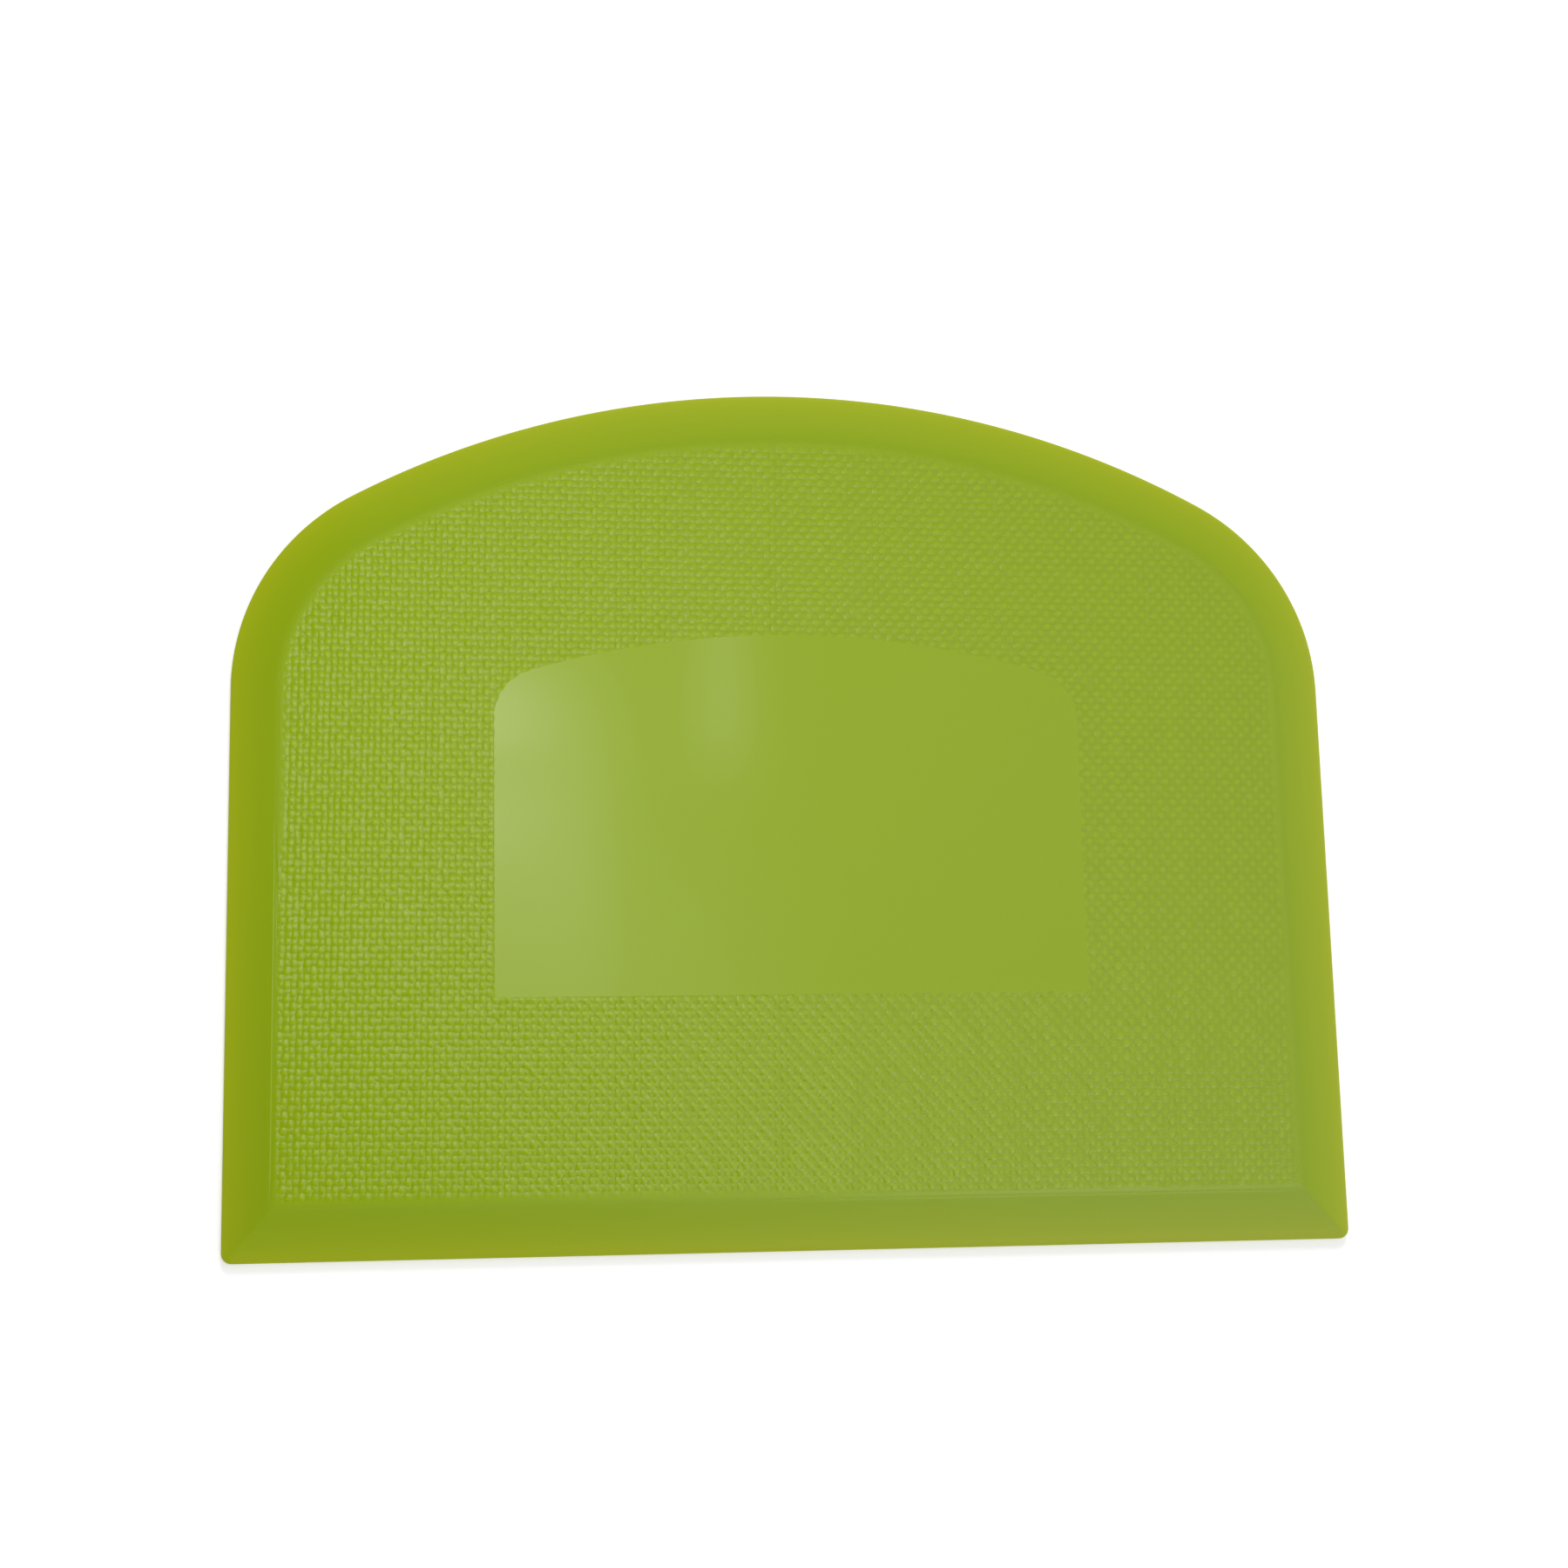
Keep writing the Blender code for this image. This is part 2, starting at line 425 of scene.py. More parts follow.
class Linen:
    """A plain weave as a height over the plane. Warps (kind 0) run up the plate, and wefts (kind 1)
    across it. The warps lie a little higher, so their floats are large ovals with small wefts between."""

    # Where a warp float meets the weft beside it and the weft above it, from its middle, in threads
    MEET = (0.55, 0.59)
    # Points on the ridges of warp and weft floats, from their middles, in threads
    RIDGE = (0.30, 0.24)
    # Sideways sways and ripples of a thread, in waves to a crossing
    SWAYS = 0.23
    RIPPLES = 0.61
    # How much of the threads' painted shade follows the height, where the rest follows the checker of warp
    # and weft floats
    BY_HEIGHT = 0.65

    def __init__(self, cloth, sizes):
        self.pitch = np.array([cloth.warp_pitch, cloth.weft_pitch])
        self.start = np.array([cloth.start_x, cloth.start_y - sizes.height / 2])
        cosine, sine = math.cos(cloth.turn), math.sin(cloth.turn)
        self.grain = np.array([[cosine, sine], [-sine, cosine]])
        self.lift = np.array([cloth.warp_lift, -cloth.weft_lift])
        self.fall = np.array([cloth.warp_fall, cloth.weft_fall])
        self.seat = np.array([cloth.warp_seat, -cloth.warp_seat])
        self.top = (self.seat + abs(self.lift)).max()
        self.relief = self.top - (self.seat - self.fall).max()
        self.reach = int(sizes.width / min(self.pitch))
        self.ripple = cloth.ripple
        self.sway = cloth.sway
        rng = np.random.default_rng(cloth.seed)
        count = 2 * self.reach + 1
        self.lift_share = 1 + cloth.slub * rng.uniform(-1, 1, (2, count))
        self.fall_share = 1 + cloth.slub * rng.uniform(-1, 1, (2, count))
        self.sway_phase = rng.uniform(0, 2 * np.pi, (2, count))
        self.ripple_phase = rng.uniform(0, 2 * np.pi, (2, count))

    def place(self, threads):
        """Points of the plane from thread numbers: turned with the grain and stretched by the pitch."""
        return self.start + (threads * self.pitch) @ self.grain

    def threads(self, points):
        """Thread numbers of points, the reverse of place."""
        return ((points - self.start) @ self.grain.T) / self.pitch

    def stray(self, kind, number, along):
        """How far a thread lies beside its own number at a place along it, as a sine wave with a phase
        of its own, and the change of that with the place."""
        turn = 2 * np.pi * self.SWAYS * along + self.sway_phase[kind, number + self.reach]
        return self.sway * np.sin(turn), self.sway * 2 * np.pi * self.SWAYS * np.cos(turn)

    def thread(self, spot, kind, number):
        """One thread at each spot, by its kind and number. Its ridge is a cosine wave, one wave to two
        crossings, and the next thread waves the other way. To it comes a small sine wave out of step
        with the weave. Half a pitch beside its ridge a thread lies lower by its fall, and elsewhere
        with the square of the distance. Returns its height and its slope against both numbers."""
        row = np.arange(len(spot))
        at = (kind, number + self.reach)
        along = spot[row, 1 - kind]
        aside, lean = self.stray(kind, number, along)
        across = spot[row, kind] - number - aside
        lift = self.lift[kind] * self.lift_share[at] * (1 - 2 * (number % 2))
        fall = 4 * self.fall[kind] * self.fall_share[at]
        own = 2 * np.pi * self.RIPPLES * along + self.ripple_phase[at]
        ridge = self.seat[kind] + lift * np.cos(np.pi * along) + self.ripple * np.sin(own)
        slope = np.empty(spot.shape)
        slope[row, kind] = -2 * fall * across
        slope[row, 1 - kind] = (
            -np.pi * lift * np.sin(np.pi * along)
            + 2 * np.pi * self.RIPPLES * self.ripple * np.cos(own)
            + 2 * fall * across * lean
        )
        return ridge - fall * across**2, slope

    def on_top(self, spot):
        """The thread that lies on top at each spot, out of the three nearest warps and the three nearest
        wefts. Returns its kind, number and height."""
        nearest = np.rint(spot).astype(int)
        heights = []
        for kind in (0, 1):
            for step in (-1, 0, 1):
                same = np.full(len(spot), kind)
                heights.append(self.thread(spot, same, nearest[:, kind] + step)[0])
        best = np.argmax(heights, axis=0)
        kind = best // 3
        number = nearest[np.arange(len(spot)), kind] + best % 3 - 1
        return kind, number, np.max(heights, axis=0)

    def depth(self, points):
        """Depth below the tops of the floats."""
        return self.top - self.on_top(self.threads(points))[2]

    def light(self, points):
        """Painted shade of the cloth's colour, from nought to one: darker in its pits and lighter on its
        tops. For the most part it follows the height, and else how near a warp float is, as the product of
        the cosines of pi times both numbers."""
        number = self.threads(points)
        # Painted shade: warp floats lighter and wefts darker, as a checker
        painted_check_shade = 0.5 + 0.5 * np.cos(np.pi * number[:, 0]) * np.cos(np.pi * number[:, 1])
        return self.BY_HEIGHT * (1 - self.depth(points) / self.relief) + (1 - self.BY_HEIGHT) * painted_check_shade

    def corner_normals(self, corners, rise, tilt):
        """Normals at the corners of triangles, in the shape (triangle, corner, axis), of the one thread
        that lies on top at each triangle's middle. So a thread keeps its round back right up to the
        line where it meets the next one. The slopes are scaled by the relief's rise at each corner, and
        the ground's own tilt is added."""
        kind, number, _ = self.on_top(self.threads(corners.mean(axis=1)))
        spot = self.threads(corners.reshape(-1, 2))
        _, slope = self.thread(spot, np.repeat(kind, 3), np.repeat(number, 3))
        slope = (slope / self.pitch) @ self.grain * rise.reshape(-1, 1) + tilt.reshape(-1, 2)
        return unit(np.column_stack([-slope, np.ones(len(slope))])).reshape(-1, 3, 3)

    def lattice(self):
        """Points that carry the relief, six to a crossing: the float's middle, two on its ridge, the
        seats where it meets the next floats to the right and above, and the pit at its corner."""
        numbers = np.arange(-self.reach + 2, self.reach - 1)
        i, j = np.meshgrid(numbers, numbers, indexing="ij")
        i, j = i.ravel(), j.ravel()
        aside = [self.stray(0 * i, i, j)[0], self.stray(0 * j + 1, j, i)[0]]
        cell = np.column_stack([i + aside[0], j + aside[1]])
        warp_over = ((i + j) % 2 == 0)[:, None]
        beside, above = self.MEET
        ridge = np.where(warp_over, (0.0, self.RIDGE[0]), (self.RIDGE[1], 0.0))
        right = np.where(warp_over, (beside, 0.0), (1 - beside, 0.0))
        upper = np.where(warp_over, (0.0, above), (0.0, 1 - above))
        spots = [cell, cell + ridge, cell - ridge, cell + right, cell + upper, cell + 0.5]
        return self.place(np.concatenate(spots))


def unit(vectors):
    """Vectors divided by their lengths."""
    return vectors / np.linalg.norm(vectors, axis=-1, keepdims=True)


def loop_edges(first, count):
    """Edges of a closed loop of points numbered from first."""
    number = np.arange(count)
    return np.column_stack([first + number, first + (number + 1) % count])


def field_border(sizes):
    """The closed line where the threads end at the rim: a cut's width inside the groove or, where there
    is no crest, inside the soft border."""
    wide = plate_outline(sizes, 1.0, sizes.crest_width + sizes.groove_width + CUT).points(FIELD_FACETS)
    narrow = plate_outline(sizes, 1.0, sizes.soft_width + CUT).points(FIELD_FACETS)
    crest = crest_share(sizes, wide)[:, None]
    return crest * wide + (1 - crest) * narrow


def panel_borders(sizes, linen):
    """The closed lines where the threads end at the panel and where the panel begins, a cut's width
    apart. Both wander with the threads: outwards by the product of the cosines of pi times both thread
    numbers, plus the cosine of two pi times their sum."""
    panel = panel_outline(sizes).points(PANEL_FACETS)
    foot = panel_outline(sizes, CUT).points(PANEL_FACETS)
    number = linen.threads(panel)
    wave = np.cos(np.pi * number[:, 0]) * np.cos(np.pi * number[:, 1])
    wave += np.cos(2 * np.pi * number.sum(axis=1))
    ragged = unit(foot - panel) * (sizes.panel_ragged * wave / 2)[:, None]
    return foot + ragged, panel + ragged


def weave_points(sizes, linen):
    """The points of the weave that lie between the rim and the panel, clear of both borders."""
    weave = linen.lattice()
    inside = plate_outline(sizes, 1.0).depth(weave) - border_inset(sizes, weave) > CUT + CLEAR
    return weave[inside & (panel_outline(sizes, CUT).depth(weave) < -CLEAR)]


def panel_sheet(sizes):
    """Evenly spaced points inside the panel's border."""
    panel = panel_outline(sizes)
    across = np.arange(-panel.half, panel.half, SHEET_SPACING) + SHEET_SPACING / 2
    up = np.arange(panel.bottom, panel.top, SHEET_SPACING) + SHEET_SPACING / 2
    sheet = np.stack(np.meshgrid(across, up, indexing="ij"), axis=-1).reshape(-1, 2)
    return sheet[panel.depth(sheet) > SHEET_SPACING / 2]


def face_surface(sizes, linen, border):
    """The face inside the groove: the linen's cut border, the linen, the panel's foot and the panel.
    Returns all points, the border's own first, the triangles between them, the normals at the
    triangles' corners, and at the points the painted shade of the threads and the panel's mask."""
    parts = (
        border[:, :2],
        field_border(sizes),
        *panel_borders(sizes, linen),
        weave_points(sizes, linen),
        panel_sheet(sizes),
    )
    part_kinds = (0, CLOTH, CLOTH, POLISHED, CLOTH, POLISHED)
    plane = np.concatenate(parts)
    counts = [len(part) for part in parts]
    kind = np.repeat(part_kinds, counts)
    first = np.concatenate([[0], np.cumsum(counts)])
    edges = np.concatenate([loop_edges(first[k], counts[k]) for k in range(4)])
    found = delaunay_2d_cdt(list(map(Vector, plane.tolist())), edges.tolist(), [], 1, 1e-9, False)
    if len(found[0]) != len(plane):
        raise RuntimeError("two points of the face fell together, so change a spacing of the linen")
    triangles = np.array(found[2])
    rise = linen_rise(sizes, plane)
    drop, tilt = ground(sizes, plane)
    height = np.where(kind == CLOTH, sizes.thickness - linen.depth(plane) * rise - drop, sizes.thickness)
    height[: counts[0]] = border[:, 2]
    spatial = np.column_stack([plane, height])
    normals = np.zeros((len(triangles), 3, 3))
    on_cloth = np.all(kind[triangles] == CLOTH, axis=1)
    cloth = triangles[on_cloth]
    normals[on_cloth] = linen.corner_normals(plane[cloth], rise[cloth], tilt[cloth])
    on_panel = np.all(kind[triangles] == POLISHED, axis=1)
    normals[on_panel] = (0.0, 0.0, 1.0)
    on_step = ~on_cloth & ~on_panel
    a, b, c = np.moveaxis(spatial[triangles[on_step]], 1, 0)
    normals[on_step] = unit(np.cross(b - a, c - a))[:, None, :]
    # The threads' painted shade: darker in the pits, lighter on the tops, fading out where the relief does
    painted_thread_shade = np.where(kind == CLOTH, PLAIN + rise * (linen.light(plane) - PLAIN), PLAIN)
    return spatial, triangles, normals, painted_thread_shade, (kind == POLISHED).astype(float)


def plate_mesh(sizes, cloth):
    """The whole plate as one closed mesh. The rim is a grid of the section's rings, from the flat back
    to the linen's border. Its first ring closes the back, and the face fills its last ring. The rim's
    own normals stay as its facets give them, and the face's are set at each triangle's corners."""
    rings = rim_rings(sizes)
    count = rings.shape[1]
    face, triangles, normals, painted_thread_shade, polish = face_surface(sizes, Linen(cloth, sizes), rings[-1])
    last = (len(rings) - 1) * count
    triangles = triangles + last
    number = np.arange(last).reshape(-1, count)
    following = np.roll(number, -1, axis=1)
    quads = np.stack([number, following, following + count, number + count], axis=-1).reshape(-1, 4)
    points = np.concatenate([rings[:-1].reshape(-1, 3), face])
    back = np.arange(count)[::-1]
    mesh = bpy.data.meshes.new("scraper_plate_looks")
    mesh.from_pydata(points.tolist(), [], quads.tolist() + triangles.tolist() + [back.tolist()])
    spread_values(mesh, "depth", plate_outline(sizes).depth(points))
    spread_values(mesh, "inside", plate_outline(sizes, 1.0).depth(points))
    spread_values(mesh, "crest", crest_share(sizes, points[:, :2]))
    # The threads' painted shade is stored as weave
    spread_values(mesh, "weave", np.concatenate([np.full(last, PLAIN), painted_thread_shade]))
    spread_values(mesh, "polish", np.concatenate([np.zeros(last), polish]))
    mesh.shade_smooth()
    mesh.set_sharp_from_angle(angle=SHARP_FROM)
    corners = [np.zeros((quads.size, 3)), normals.reshape(-1, 3), np.zeros((count, 3))]
    mesh.normals_split_custom_set(np.concatenate(corners).tolist())
    return mesh


def spread_values(mesh, name, values):
    """Stores one number for each point of the mesh, for the material to read."""
    mesh.attributes.new(name, "FLOAT", "POINT").data.foreach_set("value", values.astype(np.float32))


# Full white with full alpha
WHITE = (1.0, 1.0, 1.0, 1.0)


class Value:
    """A socket in a node tree. Arithmetic on it adds Math nodes, and so spells out a formula."""

    def __init__(self, tree, socket):
        self.tree = tree
        self.socket = socket

    def math(self, operation, *others):
        """One Math node of this value and others."""
        return self.tree.add("ShaderNodeMath", {"operation": operation}, dict(enumerate((self, *others))))

    def __add__(self, other):
        return self.math("ADD", other)

    def __sub__(self, other):
        return self.math("SUBTRACT", other)

    def __mul__(self, other):
        return self.math("MULTIPLY", other)

    def __truediv__(self, other):
        return self.math("DIVIDE", other)

    def __radd__(self, other):
        return self.math("ADD", other)

    def __rsub__(self, other):
        return self.tree.add("ShaderNodeMath", {"operation": "SUBTRACT"}, {0: other, 1: self})

    def __rmul__(self, other):
        return self.math("MULTIPLY", other)

    def ramp(self, low, high):
        """Nought below low, one above high, and a straight line between."""
        return self.tree.add("ShaderNodeMapRange", {}, {"Value": self, "From Min": low, "From Max": high})

    def smooth(self, low, high):
        """Nought below low, one above high, and a smooth step between."""
        inputs = {"Value": self, "From Min": low, "From Max": high}
        return self.tree.add("ShaderNodeMapRange", {"interpolation_type": "SMOOTHSTEP"}, inputs)


class Tree:
    """The nodes of one material or world."""

    def __init__(self, owner):
        owner.use_nodes = True
        self.nodes = owner.node_tree.nodes
        self.links = owner.node_tree.links
        self.nodes.clear()

    def add(self, kind, settings=None, inputs=None, output=0):
        """Adds a node, applies its settings, fills or links its inputs and returns one output."""
        node = self.nodes.new(kind)
        for name, value in (settings or {}).items():
            setattr(node, name, value)
        for key, value in (inputs or {}).items():
            if isinstance(value, Value):
                self.links.new(value.socket, node.inputs[key])
            else:
                node.inputs[key].default_value = value
        return Value(self, node.outputs[output]) if len(node.outputs) else node

    def attribute(self, name):
        """A number stored on the mesh."""
        return self.add("ShaderNodeAttribute", {"attribute_name": name}, output="Fac")

    def noise(self, where, scale, detail=2.0):
        """Smooth noise about one half, with scale in waves to a metre."""
        return self.add("ShaderNodeTexNoise", {}, {"Vector": where, "Scale": scale, "Detail": detail})

    def glow(self, strength):
        """A white surface that shines with a strength of its own."""
        return self.add("ShaderNodeEmission", {}, {"Color": WHITE, "Strength": strength})

    def mix_colour(self, share_of_second, first, second):
        """First colour, going over to the second."""
        inputs = {0: share_of_second, 6: first, 7: second}
        return self.add("ShaderNodeMix", {"data_type": "RGBA"}, inputs, output=2)


def rgba(rgb):
    """A colour with full alpha."""
    return (*rgb, 1.0)


# Share of the rim's width over which the edge's colour, partly painted light through the thin edge, fades,
# and the power that it fades with
EDGE_REACH = 1.1
EDGE_POWER = 0.4
# Depth inside the rim's taper at which the linen's colour is full
FIELD_REACH = 0.0010
# The crest turns glossy over this stretch, outside and inside the end of the rim's taper
CREST_GLOSS = (-0.0003, 0.0001)
# Unevenness of the linen's colour: its size and its waves to a metre
MOTTLE = 0.28
MOTTLE_WAVES = 700.0
# Level of the threads' painted shade from which their painted lighter tops begin
PAINTED_TOPS_FROM = 0.2
# Fine grain of the moulded surface: its height in metres and its waves to a metre
GRAIN = 3e-6
GRAIN_WAVES = 900.0
GRAIN_DETAIL = 3.0


def plastic_material(looks, sizes):
    """Moulded polypropylene. Colour runs from the thin edge's yellow lime to the rim's green with the
    depth inside the outline: partly the thinner plastic's own colour, partly painted light that comes
    through the thin edge from the floor. On the linen it runs from painted shade in its pits to a painted
    highlight on its tops. Roughness differs on rim, linen and panel, and the crest is as glossy as the
    linen."""
    material = bpy.data.materials.new("lime_polypropylene")
    tree = Tree(material)
    where = tree.add("ShaderNodeTexCoord", output="Object")
    depth, inside, crest, weave, polish = (
        tree.attribute(name) for name in ("depth", "inside", "crest", "weave", "polish")
    )
    # Rim colour from the thin edge to the crest: partly real, partly painted light through the thin edge
    thick = depth.ramp(0.0, sizes.rim_at_side * EDGE_REACH)
    rim = tree.mix_colour(thick.math("POWER", EDGE_POWER), rgba(looks.edge), rgba(looks.crest))
    # Painted highlight on the threads' tops and painted shade in the pits between them
    tops = rgba([level * looks.tops for level in looks.body])
    pits = rgba([level * looks.pits for level in looks.body])
    mottle = (tree.noise(where, MOTTLE_WAVES) - 0.5) * MOTTLE
    linen = tree.mix_colour((weave + mottle).smooth(PAINTED_TOPS_FROM, 1.0), pits, tops)
    cloth = tree.mix_colour(polish, linen, rgba(looks.body))
    field = inside.smooth(0.0, FIELD_REACH)
    glossy = field + (inside.smooth(*CREST_GLOSS) - field) * crest
    linen_or_rim = looks.rim_gloss + (looks.field_gloss - looks.rim_gloss) * glossy
    roughness = linen_or_rim * (1 - polish) + looks.panel_gloss * polish
    grain = tree.noise(where, GRAIN_WAVES, GRAIN_DETAIL) * GRAIN
    inputs = {"Strength": 1.0, "Distance": 1.0, "Height": grain * (1 - polish)}
    surface = {
        "Base Color": tree.mix_colour(field, rim, cloth),
        "Roughness": roughness,
        "Normal": tree.add("ShaderNodeBump", {}, inputs),
        "IOR": 1.49,
    }
    shader = tree.add("ShaderNodeBsdfPrincipled", {}, surface)
    tree.add("ShaderNodeOutputMaterial", {}, {"Surface": shader})
    return material


# The floor's own grey, and the light of its own that makes it white to the camera
FLOOR_GREY = (0.8, 0.8, 0.8, 1.0)
FLOOR_GLOW = 0.45
# The floor lies this far below the plate's back, so that the two faces don't flicker
FLOOR_GAP = 0.00002
# Distances from the plate's middle between which the floor turns plain white to the camera
FLOOR_WHITE = (0.22, 0.60)


def floor_material():
    """A pale floor that looks white to the camera and keeps the plate's shadow: a diffuse surface, with
    a little light of its own for rays that show the background. Far from the plate it is plain white to
    the camera, as the world behind it is, so no horizon shows."""
    material = bpy.data.materials.new("studio_floor")
    tree = Tree(material)
    camera, glossy, through = (
        tree.add("ShaderNodeLightPath", output=ray)
        for ray in ("Is Camera Ray", "Is Glossy Ray", "Is Transmission Ray")
    )
    background = camera.math("MAXIMUM", glossy).math("MAXIMUM", through)
    diffuse = tree.add("ShaderNodeBsdfDiffuse", {}, {"Color": FLOOR_GREY})
    both = tree.add("ShaderNodeAddShader", {}, {0: diffuse, 1: tree.glow(FLOOR_GLOW)})
    near = tree.add("ShaderNodeMixShader", {}, {0: background, 1: diffuse, 2: both})
    where = tree.add("ShaderNodeTexCoord", output="Object")
    distance = tree.add("ShaderNodeVectorMath", {"operation": "LENGTH"}, {0: where}, output="Value")
    far = distance.smooth(*FLOOR_WHITE) * camera
    surface = tree.add("ShaderNodeMixShader", {}, {0: far, 1: near, 2: tree.glow(1.0)})
    tree.add("ShaderNodeOutputMaterial", {}, {"Surface": surface})
    return material


class SoftBox(NamedTuple):
    """A light in the room, as a rectangle in the plane one unit above the floor, with soft borders."""

    left: float
    right: float
    low: float
    high: float
    blur_across: float
    blur_up: float
    radiance: float

    def glow(self, across, up):
        """Its radiance where a direction meets that plane: the product of four smooth steps."""
        inner = across.smooth(self.left - self.blur_across, self.left + self.blur_across)
        outer = 1 - across.smooth(self.right - self.blur_across, self.right + self.blur_across)
        lower = up.smooth(self.low - self.blur_up, self.low + self.blur_up)
        upper = 1 - up.smooth(self.high - self.blur_up, self.high + self.blur_up)
        return inner * outer * lower * upper * self.radiance


SOFT_BOXES = (
    # The window and its two bright panes
    SoftBox(-0.10, 0.048, 0.105, 0.228, 0.014, 0.06, 1.22),
    SoftBox(-0.10, 0.022, 0.195, 0.228, 0.020, 0.008, 2.2),
    SoftBox(-0.10, 0.018, 0.152, 0.182, 0.020, 0.012, 1.0),
    # The haze round the window
    SoftBox(-0.10, 0.098, 0.060, 0.243, 0.05, 0.04, 0.40),
    SoftBox(-0.10, 0.115, 0.075, 0.14, 0.05, 0.03, 0.18),
    # A narrow strip of light to the right of the window
    SoftBox(0.087, 0.107, 0.19, 0.27, 0.008, 0.02, 1.2),
    # Two lights on the near side, which show in the threads at the lower right and in the foot's rim
    SoftBox(0.14, 0.37, -0.27, -0.05, 0.05, 0.04, 1.25),
    SoftBox(0.10, 0.50, -0.62, -0.30, 0.06, 0.06, 0.50),
)

# How fast the horizon's glow fades upwards, and how much it gains to the east and to the north
GLOW_POWER = 4.0
GLOW_EAST = 0.03
GLOW_NORTH = -0.44
# East and north of the room's bright side, and half of the blur of its border
BRIGHT_EAST = 0.96
BRIGHT_NORTH = 0.28
BRIGHT_BLUR = 0.07
# Where the ceiling darkens to the north, in the direction's north, and how much
NORTH_FADE = (0.15, 0.55)
NORTH_LOSS = 0.60
# Where it darkens to the east, in the plane of the soft boxes, and how much
EAST_FADE = (0.45, 0.90)
EAST_LOSS = 0.35
# Least height of a direction that is followed up to that plane, and the height at which the soft
# boxes are at their full radiance
LEAST_UP = 0.05
FULL_UP = 0.2


def add_world(studio):
    """White to the camera, and a softly graded room to everything else. A direction's parts are east,
    north and up. The horizon glows with the fourth power of one minus the square of up. The ceiling is
    even on the room's bright side, dark on the other side, and darker far to the north and east. The
    soft boxes stand out of it, in the plane that a direction meets at east / up and north / up."""
    world = bpy.data.worlds.new("studio_world")
    tree = Tree(world)
    direction = tree.add("ShaderNodeTexCoord", output="Generated")
    east, north, up = (
        tree.add("ShaderNodeSeparateXYZ", {}, {0: direction}, output=axis) for axis in range(3)
    )
    lean = 1 + north * GLOW_NORTH + east * GLOW_EAST
    glow = (1 - up * up).math("POWER", GLOW_POWER) * lean * studio.horizon
    bright = (east * BRIGHT_EAST + north * BRIGHT_NORTH).smooth(-BRIGHT_BLUR, BRIGHT_BLUR)
    height = up.math("MAXIMUM", LEAST_UP)
    sideways = east / height
    upward = north / height
    lit_north = 1 - north.smooth(*NORTH_FADE) * NORTH_LOSS
    lit_east = 1 - sideways.smooth(*EAST_FADE) * EAST_LOSS
    ceiling = (1 - (1 - bright) * studio.shade) * lit_north * lit_east * studio.ceiling
    lights = 0
    for box in SOFT_BOXES:
        lights = box.glow(sideways, upward) + lights
    radiance = ceiling + glow + lights * studio.window * up.smooth(0.0, FULL_UP)
    camera = tree.add("ShaderNodeLightPath", output="Is Camera Ray")
    strength = radiance * (1 - camera) + camera
    light = tree.add("ShaderNodeBackground", {}, {"Color": WHITE, "Strength": strength})
    tree.add("ShaderNodeOutputWorld", {}, {"Surface": light})
    bpy.context.scene.world = world


def add_floor(studio):
    """A square floor just under the plate's back."""
    half = studio.floor_size / 2
    corners = [(x, y, -FLOOR_GAP) for x, y in ((-half, -half), (half, -half), (half, half), (-half, half))]
    mesh = bpy.data.meshes.new("studio_floor")
    mesh.from_pydata(corners, [], [(0, 1, 2, 3)])
    mesh.materials.append(floor_material())
    floor = bpy.data.objects.new("studio_floor", mesh)
    bpy.context.scene.collection.objects.link(floor)


# Places of the lamps, from the plate's middle, and the sides of their squares
SOFT_LAMP_PLACE = (0.100, 0.838, 0.585)
SOFT_LAMP_SIDE = 0.30
NEAR_LAMP_PLACE = (-0.049, 0.020, 0.100)
NEAR_LAMP_SIDE = 0.06


def add_lamp(name, place, side, radiance):
    """A square lamp at a place, turned to the plate's middle. Its power is pi times area times
    radiance."""
    lamp = bpy.data.lights.new(name, "AREA")
    lamp.shape = "RECTANGLE"
    lamp.size = side
    lamp.size_y = side
    lamp.energy = math.pi * side * side * radiance
    holder = bpy.data.objects.new(name, lamp)
    place = Vector(place)
    turn = (-place).to_track_quat("-Z", "Y")
    holder.matrix_world = Matrix.Translation(place) @ turn.to_matrix().to_4x4()
    holder.visible_camera = False
    holder.visible_glossy = False
    bpy.context.scene.collection.objects.link(holder)


# The camera's turn against the plate about x, y and z, in degrees
CAMERA_TURN = (-10.25, 6.81, 0.06)
# Where the middle of the scraping edge lies in the camera's own axes
EDGE_SEEN = (0.0017, -0.0493, -0.2643)


def add_camera(studio, sizes):
    """The photograph's view, from above the scraping edge, a little left of the middle."""
    camera = bpy.data.cameras.new("photo_camera")
    camera.lens = studio.lens
    camera.sensor_width = 36.0
    camera.clip_start = 0.01
    camera.clip_end = 20.0
    holder = bpy.data.objects.new("photo_camera", camera)
    about_x, about_y, about_z = (
        Matrix.Rotation(math.radians(angle), 3, axis) for angle, axis in zip(CAMERA_TURN, "XYZ")
    )
    to_plate = (about_z @ about_y @ about_x).transposed()
    place = to_plate @ -Vector(EDGE_SEEN) + Vector((0.0, -sizes.height / 2, sizes.edge_thickness))
    holder.matrix_world = Matrix.Translation(place) @ to_plate.to_4x4()
    bpy.context.scene.collection.objects.link(holder)
    bpy.context.scene.camera = holder


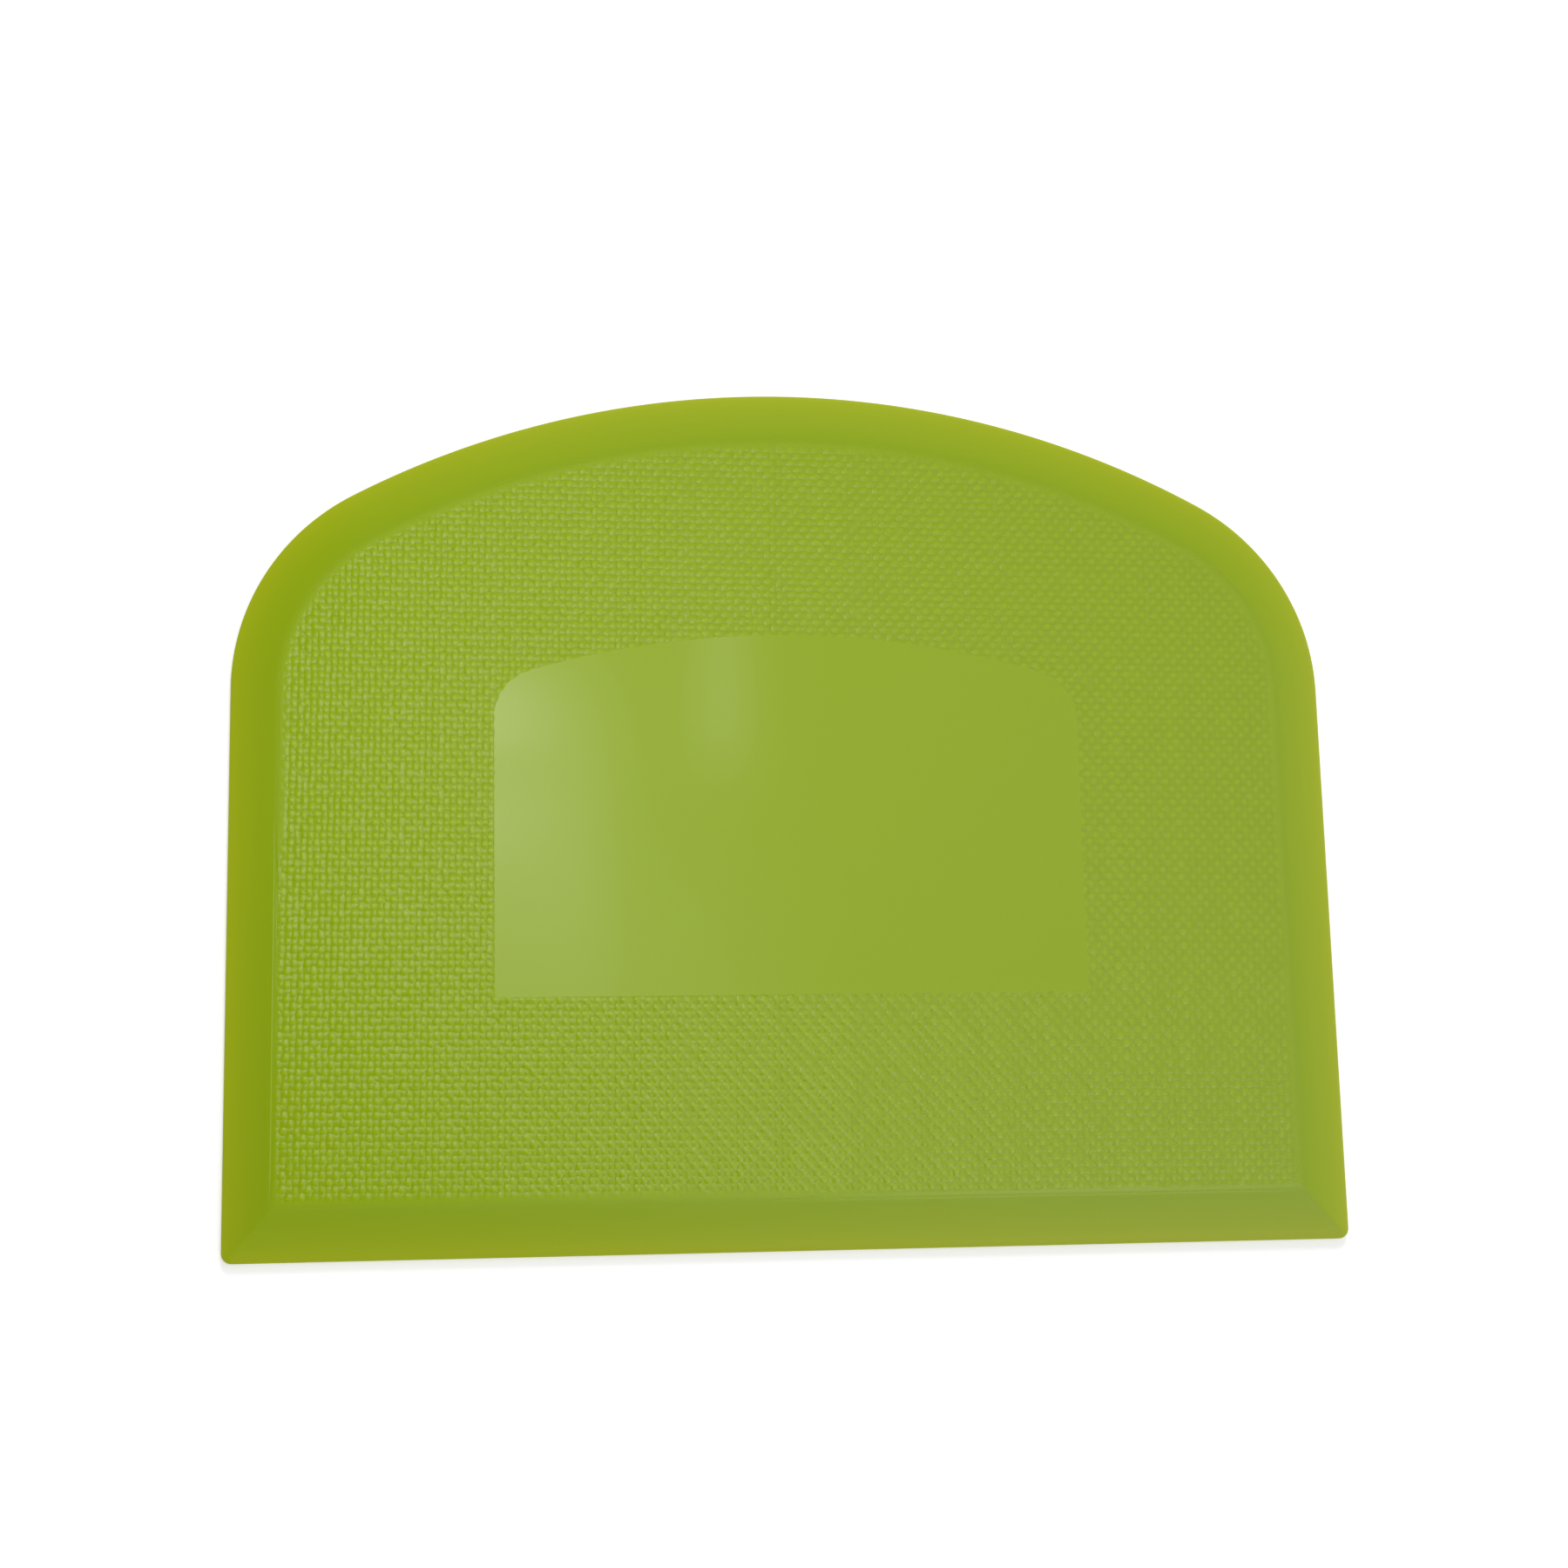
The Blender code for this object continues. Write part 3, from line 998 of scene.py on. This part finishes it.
class MESH_OT_scraper_plate_add(bpy.types.Operator):
    """Add the scraper's moulded plate with its linen-textured face"""

    bl_idname = "mesh.scraper_plate_add"
    bl_label = "Scraper Plate"

    def execute(self, context):
        scene = context.scene
        mesh = plate_mesh(scene.scraper_sizes, scene.scraper_linen)
        mesh.materials.append(plastic_material(scene.scraper_plastic, scene.scraper_sizes))
        plate = bpy.data.objects.new("moulded_plate", mesh)
        scene.collection.objects.link(plate)
        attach(plate, "root")
        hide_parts("scraper_plate")
        return {"FINISHED"}


class SCENE_OT_scraper_stage_add(bpy.types.Operator):
    """Add the plain floor, the soft lamps, the world and the photograph's camera"""

    bl_idname = "scene.scraper_stage_add"
    bl_label = "Studio Stage"

    def execute(self, context):
        studio = context.scene.scraper_studio
        add_floor(studio)
        add_world(studio)
        add_lamp("soft_lamp", SOFT_LAMP_PLACE, SOFT_LAMP_SIDE, studio.lamp)
        add_lamp("near_lamp", NEAR_LAMP_PLACE, NEAR_LAMP_SIDE, studio.near_lamp)
        add_camera(studio, context.scene.scraper_sizes)
        context.scene.view_settings.view_transform = "Standard"
        return {"FINISHED"}


class VIEW3D_PT_dough_scraper(bpy.types.Panel):
    """Buttons and sizes of the dough scraper"""

    bl_label = "Dough Scraper"
    bl_space_type = "VIEW_3D"
    bl_region_type = "UI"
    bl_category = "Scraper"

    def draw(self, context):
        layout = self.layout
        for operator in OPERATORS:
            layout.operator(operator.bl_idname)
        for group in GROUPS:
            values = getattr(context.scene, group)
            box = layout.box()
            for name in values.__annotations__:
                box.prop(values, name)


GROUPS = {
    "scraper_sizes": ScraperSizes,
    "scraper_linen": LinenSizes,
    "scraper_plastic": PlasticLooks,
    "scraper_studio": StudioSettings,
}
OPERATORS = (MESH_OT_scraper_plate_add, SCENE_OT_scraper_stage_add)
CLASSES = (*GROUPS.values(), *OPERATORS, VIEW3D_PT_dough_scraper)


def register():
    for cls in CLASSES:
        bpy.utils.register_class(cls)
    for name, group in GROUPS.items():
        setattr(bpy.types.Scene, name, bpy.props.PointerProperty(type=group))


def unregister():
    for name in GROUPS:
        delattr(bpy.types.Scene, name)
    for cls in reversed(CLASSES):
        bpy.utils.unregister_class(cls)


def main():
    """Builds the plate and the stage."""
    register()
    bpy.ops.mesh.scraper_plate_add()
    bpy.ops.scene.scraper_stage_add()


if __name__ == "__main__":
    main()
